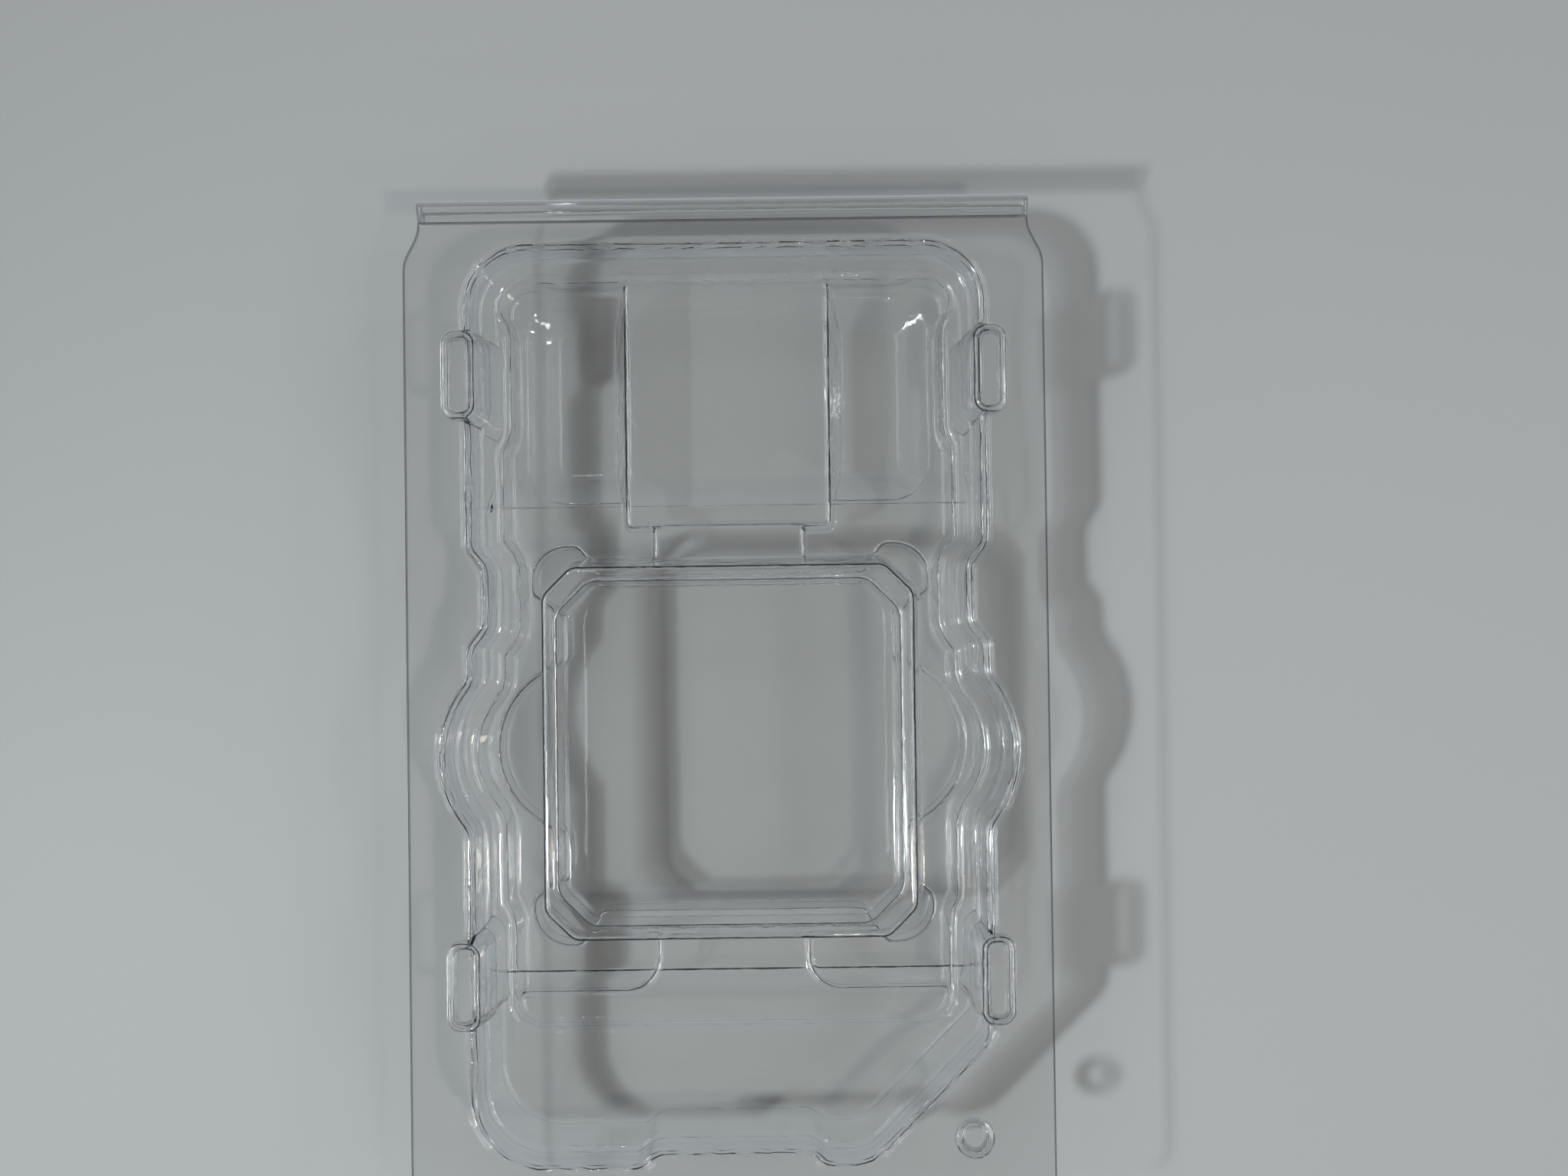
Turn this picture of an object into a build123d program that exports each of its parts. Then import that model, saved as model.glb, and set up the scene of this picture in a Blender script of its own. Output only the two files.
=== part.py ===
"""Clear clamshell pack for a square chip: two nested halves of formed plastic sheet on a living hinge.

X runs across the pack, Y towards the hinge and Z up. The tray rests on Z = 0 and the origin is at the
centre of the pack's footprint. Each half is the skin between two moulds: the mould under the sheet and
the same mould grown by the sheet's thickness. Outlines are lists of corners, each an X, a Y and a
rounding, so that an outline can be moved in or out with its arcs kept parallel.
"""
import math
import os

from build123d import *

# Sheet and how the halves nest
sheet = 0.35
flange_gap = 0.15
nest_gap = 0.30
draft = 5.0
least_rounding = 1.0
touch = 0.01

# Flange
pack_width = 75.0
pack_length = 121.4
parting_height = 12.0
flange_corner = 3.0
hinge_width = 71.4
flare_start = 7.2
flare_length = 3.4
flare_rounding = 2.5

# Well of the tray, measured at its upper face
well_width = 61.2
well_top = 55.6
well_bottom = -53.0
well_top_corner = 7.2
well_bottom_corner = 8.5
key_top = -38.4
key_rounding = 6.0
key_shoulder = 3.0
rim_fold = 0.3
foot_fold = 0.45

# Side waists, finger bulges and end notch of the well
waist_depth = 1.9
waist_low = 8.2
waist_high = 19.8
waist_slope = 2.4
waist_rounding = 2.4
bulge_radius = 13.2
bulge_reach = 34.0
bulge_y = -4.6
bulge_spread = 38.0
bulge_rounding = 2.4
notch_width = 18.4
notch_depth = 1.6
notch_slope = 1.6
notch_rounding = 2.6

# Snaps of the tray: four pills, the heads of columns astride the rim, and one round stud at the keyed corner
pill_x = 31.0
pill_ys = (-31.0, 40.1)
pill_width = 3.1
pill_length = 9.5
pill_height = 1.5
pill_flat = 0.6
stud_x = 28.0
stud_y = -49.3
stud_diameter = 3.6
stud_height = 1.2
snap_gap = 0.25
snap_slope = 8.0
snap_fold = 0.35

# Chip seat in the tray, measured at its upper face
chip_y = -4.4
chip_pocket = 41.0
ear_reach = 4.2
ear_length = 4.6
ear_inset = 1.4
ear_radius = 4.4
ear_rounding = 1.5
scoop_radius = 10.5
scoop_reach = 28.9
scoop_spread = 60.0
scoop_rounding = 1.5
seat_height = 3.5
seat_top = 29.0
seat_bottom = -36.0
seat_fold = 0.4
seat_margin = 1.0
step_slope = 50.0

# Lid, measured at its lower face: shelf, moat, side pockets, bridge, window frame and tab
shelf_depth = 4.2
shelf_width = 2.4
moat_clearance = 0.35
moat_end = -38.0
moat_slope = 8.0
moat_corner = 6.5
jog_depth = 1.0
jog_run = 2.0
jog_overrun = 0.75
jog_rounding = 1.4
side_pocket_gap = 0.7
side_pocket_inset = 0.9
side_pocket_corner = 5.0
side_pocket_clearance = 0.35
bridge_width = 28.2
bridge_end = 20.8
bridge_height = 6.2
bridge_slope = 20.0
bridge_corner = 2.4
window_size = 41.2
window_corner = 4.0
window_rounding = 3.0
window_floor = 7.2
frame_band = 1.0
frame_height = 11.4
frame_slope = 10.5
tab_width = 18.4
tab_height = 5.6
tab_overlap = 1.5
tab_rounding = 1.6
ledge_half = 27.0
ledge_top = -34.2
ledge_sweep = 4.0
lid_fold = 0.15

# Living hinge
bead_radius = 0.9
hinge_film = 2.6
film_lead = 0.4
film_gap = 0.05

# Heights and places that follow from the sizes above
well_half = well_width / 2
jog_line = well_half - jog_depth
lid_underside = parting_height + flange_gap
shelf_level = lid_underside - shelf_depth
moat_floor = seat_height + moat_clearance
side_pocket_floor = sheet + side_pocket_clearance
flange_end = pack_length / 2 - hinge_film
bead_y = pack_length / 2 - bead_radius
bead_z = parting_height + flange_gap / 2
mould_base = -5.0


def run(height, slope):
    """Level distance that a face leaning by a slope covers over a height."""
    return height * math.tan(math.radians(slope))


def skin_run(skin, slope):
    """Level distance between two faces of a wall that leans by a slope and is one skin thick."""
    return skin * math.tan(math.radians(45 - slope / 2))


shelf_inset = nest_gap + run(shelf_depth, draft) + shelf_width


def moved(corners, amount):
    """Corners of an outline moved outwards by an amount, each rounded so that its arc stays parallel."""
    result = []
    for index, (x, y, rounding) in enumerate(corners):
        here = Vector(x, y)
        before = (here - Vector(*corners[index - 1][:2])).normalized()
        after = (Vector(*corners[(index + 1) % len(corners)][:2]) - here).normalized()
        out_before = Vector(before.Y, -before.X)
        out_after = Vector(after.Y, -after.X)
        place = here + (out_before + out_after) * (amount / (1 + out_before.dot(out_after)))
        outward = before.cross(after).Z > 0
        parallel = rounding + amount if outward else rounding - amount
        result.append((place.X, place.Y, max(parallel, least_rounding)))
    return result


def mirrored(corners):
    """Corners on the other side of the pack, in the order that keeps an outline anticlockwise."""
    return [(-x, y, rounding) for x, y, rounding in reversed(corners)]


def block_corners(half_width, low, high, rounding):
    """Corners of a rectangle centred across the pack."""
    right = [(half_width, low, rounding), (half_width, high, rounding)]
    return right + mirrored(right)


def lobe_corners(wall, y, reach, radius, spread, rounding):
    """Round lobe on the right of an outline: two feet and the apex that its arc is struck from."""
    lean = math.radians(spread)
    apex = reach + radius * (1 / math.cos(lean) - 1)
    half_chord = (apex - wall) / math.tan(lean)
    return [(wall, y - half_chord, rounding), (apex, y, radius), (wall, y + half_chord, rounding)]


def side_corners():
    """Right wall of the well beside the chip: the finger bulge, then the waist."""
    waist = well_half - waist_depth
    return [
        *lobe_corners(well_half, bulge_y, bulge_reach, bulge_radius, bulge_spread, bulge_rounding),
        (well_half, waist_low, waist_rounding),
        (waist, waist_low + waist_slope, waist_rounding),
        (waist, waist_high - waist_slope, waist_rounding),
        (well_half, waist_high, waist_rounding),
    ]


def well_corners():
    """Plan of the well: one corner cut at 45 degrees, side walls, top and end notch."""
    key = [
        (well_half - (key_top - well_bottom), well_bottom, key_rounding),
        (well_half, key_top, key_shoulder),
    ]
    right = [*side_corners(), (well_half, well_top, well_top_corner)]
    notch = [
        (notch_width / 2, well_bottom + notch_depth, notch_rounding),
        (notch_width / 2 + notch_slope, well_bottom, notch_rounding),
    ]
    plain = [(-well_half, well_bottom, well_bottom_corner)]
    return key + right + mirrored(right) + plain + mirrored(notch) + notch


def jog_corners(y):
    """Inward jog of the moat's right wall beside one pill."""
    tip = pill_length / 2 + jog_overrun
    return [
        (well_half, y - tip - jog_run, jog_rounding),
        (jog_line, y - tip, jog_rounding),
        (jog_line, y + tip, jog_rounding),
        (well_half, y + tip + jog_run, jog_rounding),
    ]


def moat_corners():
    """Plan of the lid's deep middle: the well's walls moved in, jogged at the pills, with a straight end."""
    low_pill, high_pill = pill_ys
    right = [
        (jog_line, moat_end - shelf_inset, moat_corner),
        *jog_corners(low_pill)[2:],
        *side_corners(),
        *jog_corners(high_pill),
        (well_half, well_top, moat_corner),
    ]
    return moved(right + mirrored(right), -shelf_inset)


def window_corners(half_width):
    """Square with cut corners round the chip."""
    straight = half_width - window_corner
    right = [
        (straight, chip_y - half_width, window_rounding),
        (half_width, chip_y - straight, window_rounding),
        (half_width, chip_y + straight, window_rounding),
        (straight, chip_y + half_width, window_rounding),
    ]
    return right + mirrored(right)


def pocket_corners():
    """Chip pocket: a square with a round ear at each corner and a finger scoop at each side."""
    half = chip_pocket / 2
    low = chip_y - half
    high = chip_y + half
    ear = half + ear_reach
    right = [
        (half - ear_length, low, ear_rounding),
        (half - ear_inset, low - ear_reach, ear_rounding),
        (ear, low - ear_reach, ear_radius),
        (ear, low + ear_inset, ear_rounding),
        (half, low + ear_length, ear_rounding),
        *lobe_corners(half, bulge_y, scoop_reach, scoop_radius, scoop_spread, scoop_rounding),
        (half, high - ear_length, ear_rounding),
        (ear, high - ear_inset, ear_rounding),
        (ear, high + ear_reach, ear_radius),
        (half - ear_inset, high + ear_reach, ear_rounding),
        (half - ear_length, high, ear_rounding),
    ]
    return right + mirrored(right)


def tab_corners():
    """Low tab under the window frame, which sweeps out into a ledge along the moat's straight end."""
    right = [
        (ledge_half, moat_end - tab_overlap, tab_rounding),
        (ledge_half, ledge_top, tab_rounding),
        (tab_width / 2, ledge_top, ledge_sweep),
        (tab_width / 2, bridge_end + 2 * tab_overlap, tab_rounding),
    ]
    return right + mirrored(right)


def pill_corners(x, y):
    """Plan of one pill snap."""
    half_width = pill_width / 2
    half_length = pill_length / 2
    rounding = half_width - pill_flat / 2
    return [
        (x + half_width, y - half_length, rounding),
        (x + half_width, y + half_length, rounding),
        (x - half_width, y + half_length, rounding),
        (x - half_width, y - half_length, rounding),
    ]


def flange_corners():
    """Plan of one flange: straight sides that flare in to the narrower hinge."""
    flare_y = pack_length / 2 - flare_start
    right = [
        (pack_width / 2, -pack_length / 2, flange_corner),
        (pack_width / 2, flare_y, flare_rounding),
        (hinge_width / 2, flare_y + flare_length, flare_rounding),
        (hinge_width / 2, flange_end, 0),
    ]
    return right + mirrored(right)


def plan(corners, level):
    """Filled outline at a level."""
    with BuildSketch(Plane.XY.offset(level)) as result:
        with BuildLine(Plane.XY.offset(level)):
            FilletPolyline(
                *[(x, y) for x, y, rounding in corners],
                radius=[rounding for x, y, rounding in corners],
                close=True,
            )
        make_face()
    return result.sketch


def plug(corners, level, rise, slope, end_fold):
    """Tapered plug from a level, upwards or downwards, with the edges of its far end rounded."""
    end = level + rise
    with BuildPart() as body:
        loft([plan(corners, level), plan(moved(corners, -run(abs(rise), slope)), end)], ruled=True)
        fillet(body.edges().filter_by_position(Axis.Z, end - touch, end + touch), end_fold)
    return body.part


def stud(top, growth, end_fold):
    """Round stud snap on a flange."""
    base = stud_diameter / 2 + growth
    with BuildPart() as body:
        with Locations((stud_x, stud_y, top)):
            Cone(base, base - run(stud_height, snap_slope), stud_height,
                 align=(Align.CENTER, Align.CENTER, Align.MIN))
        fillet(body.edges().group_by(Axis.Z)[-1], end_fold)
    return body.part


def mould_block(top):
    """Block with the flange's outline, which the forms of one half are cut into and raised from."""
    with BuildPart() as block:
        extrude(plan(flange_corners(), mould_base), amount=top - mould_base)
    return block.part


def level_edges(part, level):
    """Edges made by the last step that lie at a level."""
    return part.edges(Select.LAST).filter_by_position(Axis.Z, level - touch, level + touch)


def seat_block(skin, shrink):
    """Raised chip seat: a block with sloping ends, carried right across the well."""
    inset = skin_run(shrink, step_slope)
    rise = seat_height - sheet
    ramp = run(rise, step_slope)
    with BuildPart() as body:
        with BuildSketch(Plane.YZ):
            with BuildLine():
                Polyline(
                    (seat_bottom + inset, skin),
                    (seat_top - inset, skin),
                    (seat_top - inset - ramp, skin + rise),
                    (seat_bottom + inset + ramp, skin + rise),
                    close=True,
                )
            make_face()
        extrude(amount=pack_width / 2 - seat_margin, both=True)
        ends = body.edges().filter_by(Axis.X).group_by(Axis.Z)[-1]
        fillet(ends, seat_fold + skin)
    return body.part


def tray_mould(skin):
    """Mould under the tray's sheet, grown by a skin: nothing for its lower face, the sheet for its upper."""
    shrink = sheet - skin
    top = parting_height - shrink
    depth = parting_height - sheet
    seat_rise = seat_height - sheet
    column_spread = run(depth, snap_slope)
    well = moved(well_corners(), skin_run(shrink, draft))
    pocket = moved(pocket_corners(), skin_run(shrink, draft))
    with BuildPart() as mould:
        add(mould_block(top))
        add(plug(well, top, -depth, draft, foot_fold + shrink), mode=Mode.SUBTRACT)
        fillet(level_edges(mould, top), rim_fold + skin)
        add(seat_block(skin, shrink))
        add(plug(pocket, skin + seat_rise, -seat_rise, draft, seat_fold + shrink), mode=Mode.SUBTRACT)
        for side in (-1, 1):
            for y in pill_ys:
                foot = moved(pill_corners(side * pill_x, y), column_spread - skin_run(shrink, snap_slope))
                add(plug(foot, skin, depth + pill_height, snap_slope, snap_fold + skin))
        add(stud(top, -skin_run(shrink, snap_slope), snap_fold + skin))
    return mould.part


def lid_mould(skin):
    """Mould under the lid's sheet, grown by a skin: nothing for its lower face, the sheet for its upper."""
    top = lid_underside + skin
    moat_depth = shelf_level - moat_floor
    pocket_depth = moat_floor - side_pocket_floor
    pocket_inset = shelf_inset + run(moat_depth, moat_slope) + side_pocket_inset
    pocket_half = jog_line - pocket_inset
    pocket_end = seat_top - run(moat_floor - sheet, step_slope) + side_pocket_gap
    frame_rise = frame_height - moat_floor
    window_depth = frame_height - window_floor
    frame_half = window_size / 2 + frame_band + run(frame_rise, frame_slope)
    well = moved(well_corners(), -nest_gap - skin_run(skin, draft))
    moat = moved(moat_corners(), -skin_run(skin, moat_slope))
    side_pockets = moved(
        block_corners(pocket_half, pocket_end, well_top - pocket_inset, side_pocket_corner),
        -skin_run(skin, step_slope),
    )
    bridge = moved(
        block_corners(bridge_width / 2, bridge_end, well_top, bridge_corner), skin_run(skin, bridge_slope)
    )
    tab = moved(tab_corners(), skin_run(skin, moat_slope))
    frame = moved(window_corners(frame_half), skin_run(skin, frame_slope))
    window = moved(window_corners(window_size / 2), -skin_run(skin, draft))
    column_spread = snap_gap + run(shelf_depth, snap_slope)
    fold_in = foot_fold + sheet - skin
    fold_out = lid_fold + skin
    with BuildPart() as mould:
        add(mould_block(top))
        add(plug(well, top, -shelf_depth, draft, fold_in), mode=Mode.SUBTRACT)
        fillet(level_edges(mould, top), rim_fold + skin)
        add(plug(moat, shelf_level + skin, -moat_depth, moat_slope, fold_in), mode=Mode.SUBTRACT)
        fillet(level_edges(mould, shelf_level + skin), fold_out)
        add(plug(side_pockets, moat_floor + skin, -pocket_depth, step_slope, fold_in), mode=Mode.SUBTRACT)
        add(plug(bridge, side_pocket_floor + skin, bridge_height - side_pocket_floor, bridge_slope, fold_out))
        add(plug(tab, moat_floor + skin, tab_height - moat_floor, moat_slope, fold_out))
        add(plug(frame, moat_floor + skin, frame_rise, frame_slope, fold_out))
        add(plug(window, frame_height + skin, -window_depth, draft, fold_in), mode=Mode.SUBTRACT)
        fillet(level_edges(mould, frame_height + skin), fold_out)
        for side in (-1, 1):
            for y in pill_ys:
                foot = moved(pill_corners(side * pill_x, y), column_spread + skin_run(skin, snap_slope))
                add(plug(foot, shelf_level + skin, shelf_depth + pill_height, snap_slope, snap_fold + skin))
        add(stud(top, snap_gap + skin_run(skin, snap_slope), snap_fold + skin))
    return mould.part


os.makedirs("parts", exist_ok=True)

with BuildPart() as front_tray:
    add(tray_mould(sheet))
    add(tray_mould(0), mode=Mode.SUBTRACT)
front_tray.part.label = "front_tray"
export_step(front_tray.part, "parts/front_tray.step")

with BuildPart() as rear_lid:
    add(lid_mould(sheet))
    add(lid_mould(0), mode=Mode.SUBTRACT)
rear_lid.part.label = "rear_lid"
export_step(rear_lid.part, "parts/rear_lid.step")

# Living hinge: a film that leaves the tray's flange, rounds a bead and comes back to the lid's flange
tray_film_z = parting_height - sheet / 2
lid_film_z = lid_underside + sheet / 2
bead_middle = bead_radius - sheet / 2
film_bend = flange_end + film_lead
film_reach = bead_y - film_bend
film_drop = bead_z - tray_film_z
contact = math.acos(bead_middle / math.hypot(film_reach, film_drop)) + math.atan2(film_drop, film_reach)
contact_y = bead_y - bead_middle * math.cos(contact)
contact_rise = bead_middle * math.sin(contact)
with BuildPart() as living_hinge:
    with BuildSketch(Plane.YZ):
        with BuildLine():
            Polyline((flange_end, tray_film_z), (film_bend, tray_film_z), (contact_y, bead_z - contact_rise))
            ThreePointArc((contact_y, bead_z - contact_rise), (bead_y + bead_middle, bead_z),
                          (contact_y, bead_z + contact_rise))
            Polyline((contact_y, bead_z + contact_rise), (film_bend, lid_film_z),
                     (flange_end + film_gap, lid_film_z))
        trace(line_width=sheet)
    extrude(amount=hinge_width / 2, both=True)
living_hinge.part.label = "living_hinge"
export_step(living_hinge.part, "parts/living_hinge.step")
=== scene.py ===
"""Clear clamshell pack for a square chip, lying closed on a pale table.

The two halves are formed plastic sheet. Each is worked out as one height field: the height of the sheet's
middle is a function of X and Y, made of level floors joined by leaning walls with an arc at brow and foot.
The plan is divided along those walls, lifted to its height and given the sheet's thickness on both sides.
The hinge film is a profile carried across the pack. Lengths below are in millimetres unless a property
says otherwise, and are turned into metres when a mesh is made.
"""
import math

import bpy
import numpy as np
from mathutils import Euler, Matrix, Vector
from mathutils.geometry import delaunay_2d_cdt


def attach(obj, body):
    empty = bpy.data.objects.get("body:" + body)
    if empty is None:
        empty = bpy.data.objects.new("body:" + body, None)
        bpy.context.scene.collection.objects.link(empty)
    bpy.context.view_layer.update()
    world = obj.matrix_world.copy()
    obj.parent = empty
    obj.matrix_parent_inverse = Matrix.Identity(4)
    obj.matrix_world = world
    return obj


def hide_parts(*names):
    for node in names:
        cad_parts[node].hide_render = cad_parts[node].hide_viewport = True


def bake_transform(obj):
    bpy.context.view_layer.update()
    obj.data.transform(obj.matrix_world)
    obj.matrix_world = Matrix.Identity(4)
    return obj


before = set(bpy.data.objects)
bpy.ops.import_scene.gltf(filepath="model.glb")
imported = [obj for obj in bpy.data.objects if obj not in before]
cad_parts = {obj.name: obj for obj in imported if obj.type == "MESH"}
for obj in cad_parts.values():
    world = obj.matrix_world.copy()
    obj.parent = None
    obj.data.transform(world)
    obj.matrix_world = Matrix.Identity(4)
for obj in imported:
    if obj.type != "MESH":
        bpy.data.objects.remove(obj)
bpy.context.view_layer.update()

bl_info = {
    "name": "Clear clamshell pack",
    "version": (1, 0, 0),
    "blender": (4, 5, 0),
    "location": "View3D > Sidebar > Clamshell",
    "description": "Forms the tray, the lid and the hinge film of a clear clamshell pack and sets its table",
    "category": "Object",
}

MM = 0.001

# Sheet and how the halves nest
SHEET = 0.35
FLANGE_GAP = 0.15
NEST_GAP = 0.30
DRAFT = 5.0

# Flange
PACK_WIDTH = 75.0
PACK_LENGTH = 121.4
PARTING_HEIGHT = 12.0
FLANGE_CORNER = 3.0
HINGE_WIDTH = 71.4
FLARE_START = 7.2
FLARE_LENGTH = 3.4
FLARE_ROUNDING = 4.4
SQUARE_CORNER = 0.08
# Width of the band along a cut edge that is painted dark as shade
CUT_WIDTH = 0.16

# Well of the tray
WELL_HALF = 30.6
WELL_TOP = 55.6
WELL_BOTTOM = -53.0
WELL_TOP_CORNER = 7.2
WELL_BOTTOM_CORNER = 8.5
KEY_TOP = -38.4
KEY_ROUNDING = 6.0
KEY_SHOULDER = 3.0
RIM_FOLD = 0.75
FOOT_FOLD = 0.6

# Side waists, finger bulges and end notch of the well
WAIST_DEPTH = 1.9
WAIST_LOW = 8.2
WAIST_HIGH = 19.8
WAIST_SLOPE = 2.4
WAIST_ROUNDING = 2.4
BULGE_RADIUS = 13.2
BULGE_REACH = 34.0
BULGE_Y = -4.6
BULGE_SPREAD = 38.0
BULGE_ROUNDING = 2.4
NOTCH_HALF = 9.2
NOTCH_DEPTH = 1.6
NOTCH_ROUNDING = 2.6

# Snaps: pills that head columns astride the rim, and a stud
PILL_X = 31.0
PILL_YS = (-31.0, 40.1)
PILL_WIDTH = 3.1
PILL_LENGTH = 9.5
PILL_HEIGHT = 1.5
PILL_FLAT = 0.6
STUD_PLACE = (28.0, -49.3)
STUD_RADIUS = 1.8
STUD_HEIGHT = 1.2
SNAP_GAP = 0.25
SNAP_SLOPE = 8.0
SNAP_FOLD = 0.45
SNAP_FOOT = 0.2
COLUMN_CLEAR = 2.3

# Chip seat in the tray
CHIP_Y = -4.4
CHIP_HALF = 20.5
EAR_REACH = 4.2
EAR_LENGTH = 4.6
EAR_INSET = 1.4
EAR_RADIUS = 4.4
EAR_ROUNDING = 1.5
SCOOP_RADIUS = 10.5
SCOOP_REACH = 28.9
SCOOP_SPREAD = 60.0
SCOOP_ROUNDING = 1.5
SEAT_HEIGHT = 3.5
SEAT_TOP = 29.0
SEAT_BOTTOM = -36.0
SEAT_FOLD = 0.4
STEP_SLOPE = 50.0

# Lid
SHELF_DEPTH = 4.2
SHELF_WIDTH = 2.4
MOAT_FLOOR = 3.85
MOAT_END = -38.0
MOAT_SLOPE = 8.0
MOAT_CORNER = 6.5
JOG_LINE = 29.6
JOG_RUN = 2.0
JOG_OVERRUN = 0.75
JOG_ROUNDING = 1.4
SIDE_POCKET_FLOOR = 0.7
SIDE_POCKET_GAP = 0.7
SIDE_POCKET_INSET = 0.9
SIDE_POCKET_CORNER = 5.0
BRIDGE_HALF = 14.1
BRIDGE_END = 20.8
BRIDGE_HEIGHT = 6.2
BRIDGE_SLOPE = 20.0
BRIDGE_CORNER = 2.4
WINDOW_HALF = 20.6
WINDOW_CORNER = 4.0
WINDOW_ROUNDING = 3.0
WINDOW_FLOOR = 7.2
FRAME_BAND = 1.0
FRAME_HEIGHT = 11.4
FRAME_SLOPE = 10.5
TAB_HALF = 9.2
TAB_HEIGHT = 5.6
TAB_OVERLAP = 1.5
TAB_ROUNDING = 1.6
LEDGE_HALF = 27.0
LEDGE_TOP = -34.2
LEDGE_SWEEP = 4.0
LID_FOLD = 0.55
MOAT_FOLD = 1.1
BRIDGE_FOLD = 0.8
SOFT_FOLD = 0.5

# Living hinge
BEAD_RADIUS = 0.9
HINGE_FILM = 2.6
FILM_LEAD = 0.4
FILM_GAP = 0.05
BEAD_LINE = 0.06

# Small lamps on a rising spiral round the table, in metres and degrees
BULB_COUNT = 9
BULB_SIZE = 0.012
BULB_DISTANCE = 0.55
BULB_TURN = 137.5
BULB_LOW = 28.0
BULB_HIGH = 48.0

# Waves of the sheet, and the share of X, the share of Y and the phase of the three sines they are made of
RIPPLE_LENGTH = 3.7
WAVE_LENGTH = 31.0
CROSSED_SINES = ((0.93, 0.37, 0.7), (-0.58, 0.71, 2.1), (1.31, 0.83, 4.4))

# Fineness of outlines and of the plan
ARC_STEPS = 16
LEAST_ROUNDING = 1.0
MERGE = 0.004
TINY = 1e-12
FOLD_LIMIT = 0.85
LEAST_DEPTH = 0.001
LEAST_BRIDGE = 0.1
BLOCK = 3000
RAMP_POINTS = 41
RAMP_INSET = 1.0
STUD_POINTS = 40
FILM_POINTS = 47
BEAD_STEPS = 8
SHARP_TURN = 40.0

# How far past a wall the floor at its foot is read, and how far from its edge a block is looked for
WELL_PROBE = 1.6
MOAT_PROBE = 1.3
FOOT_PROBE = 0.4
NEAR = 1.0
FRAME_CLEAR = 6.0

# Patterns: scale per metre, detail and roughness of each noise
FLOW_NOISE = (140.0, 2.0, 0.45)
CRUMPLE_NOISE = (480.0, 2.0, 0.5)
HAZE_NOISE = (60.0, 5.0, 0.6)
CLOUD_NOISE = (9.0, 3.0, 0.5)

# Clear plastic: how sharply its effects set in, and the heights in metres where the sheet is thin and thick
PLASTIC_IOR = 1.57
HAZE_SHARPNESS = 3.0
FOLD_SHARPNESS = 5.0
WALL_SHARPNESS = 1.5
THIN_HEIGHT = 0.0075
THICK_HEIGHT = 0.0105

# Table, in metres
TABLE_HALF = 1.5
TABLE_POINTS = 13
TABLE_DROP = 0.00002
TABLE_ROUGHNESS = 0.6
TABLE_SHEEN = 0.2
CLOUD_DEPTH = 0.97

# Lamps and camera, in metres and degrees
WHITE = (1.0, 1.0, 1.0)
COOL = (0.94, 1.0, 1.0)
WARM = (1.0, 0.91, 0.80)
PACK_MIDDLE = (0.0, 0.0, 0.0)
LEFT_PLACE = (-0.30, -0.085, 0.25)
LEFT_AIM = (0.6135, -0.085, 0.6567)
RIGHT_PLACE = (0.197, -0.11, 0.376)
PANEL_SIZE = (0.5, 0.06)
LEFT_PANEL = (-0.5, 0.0, 0.38)
RIGHT_PANEL = (0.5, 0.0, 0.38)
CAMERA_TILT = 0.54
CAMERA_ROLL = -0.75
SENSOR_WIDTH = 36.0
NEAR_CLIP = 0.001
CLEAR_BOUNCES = 16
SHADOW_BOUNCES = 32
GLOSS_BOUNCES = 8


def run(height, slope):
    """Level distance that a face leaning by a slope covers over a height."""
    return height * math.tan(math.radians(slope))


def ease(radius, slope):
    """Level distance from a corner to where an arc of a radius leaves it, on a face leaning by a slope."""
    return radius * math.tan(math.radians(45 - slope / 2))


def unit(vectors):
    """Vectors scaled to length 1."""
    return vectors / np.maximum(np.linalg.norm(vectors, axis=-1, keepdims=True), TINY)


def mirrored(corners):
    """Corners on the other side of the pack, in the order that keeps an outline anticlockwise."""
    return [(-x, y, rounding) for x, y, rounding in reversed(corners)]


def block_corners(half_width, low, high, rounding):
    """Corners of a rectangle centred across the pack."""
    right = [(half_width, low, rounding), (half_width, high, rounding)]
    return right + mirrored(right)


def lobe_corners(wall, y, reach, radius, spread, rounding):
    """Round lobe on the right of an outline: two feet and the apex that its arc is struck from."""
    lean = math.radians(spread)
    apex = reach + radius * (1 / math.cos(lean) - 1)
    half_chord = (apex - wall) / math.tan(lean)
    return [(wall, y - half_chord, rounding), (apex, y, radius), (wall, y + half_chord, rounding)]


def side_corners():
    """Right wall of the well beside the chip: the finger bulge, then the waist."""
    waist = WELL_HALF - WAIST_DEPTH
    return [
        *lobe_corners(WELL_HALF, BULGE_Y, BULGE_REACH, BULGE_RADIUS, BULGE_SPREAD, BULGE_ROUNDING),
        (WELL_HALF, WAIST_LOW, WAIST_ROUNDING),
        (waist, WAIST_LOW + WAIST_SLOPE, WAIST_ROUNDING),
        (waist, WAIST_HIGH - WAIST_SLOPE, WAIST_ROUNDING),
        (WELL_HALF, WAIST_HIGH, WAIST_ROUNDING),
    ]


def well_corners():
    """Plan of the well: one corner cut at 45 degrees, side walls, top and end notch."""
    key = [
        (WELL_HALF - (KEY_TOP - WELL_BOTTOM), WELL_BOTTOM, KEY_ROUNDING),
        (WELL_HALF, KEY_TOP, KEY_SHOULDER),
    ]
    right = [*side_corners(), (WELL_HALF, WELL_TOP, WELL_TOP_CORNER)]
    notch = [
        (NOTCH_HALF, WELL_BOTTOM + NOTCH_DEPTH, NOTCH_ROUNDING),
        (NOTCH_HALF + NOTCH_DEPTH, WELL_BOTTOM, NOTCH_ROUNDING),
    ]
    plain = [(-WELL_HALF, WELL_BOTTOM, WELL_BOTTOM_CORNER)]
    return key + right + mirrored(right) + plain + mirrored(notch) + notch


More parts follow.
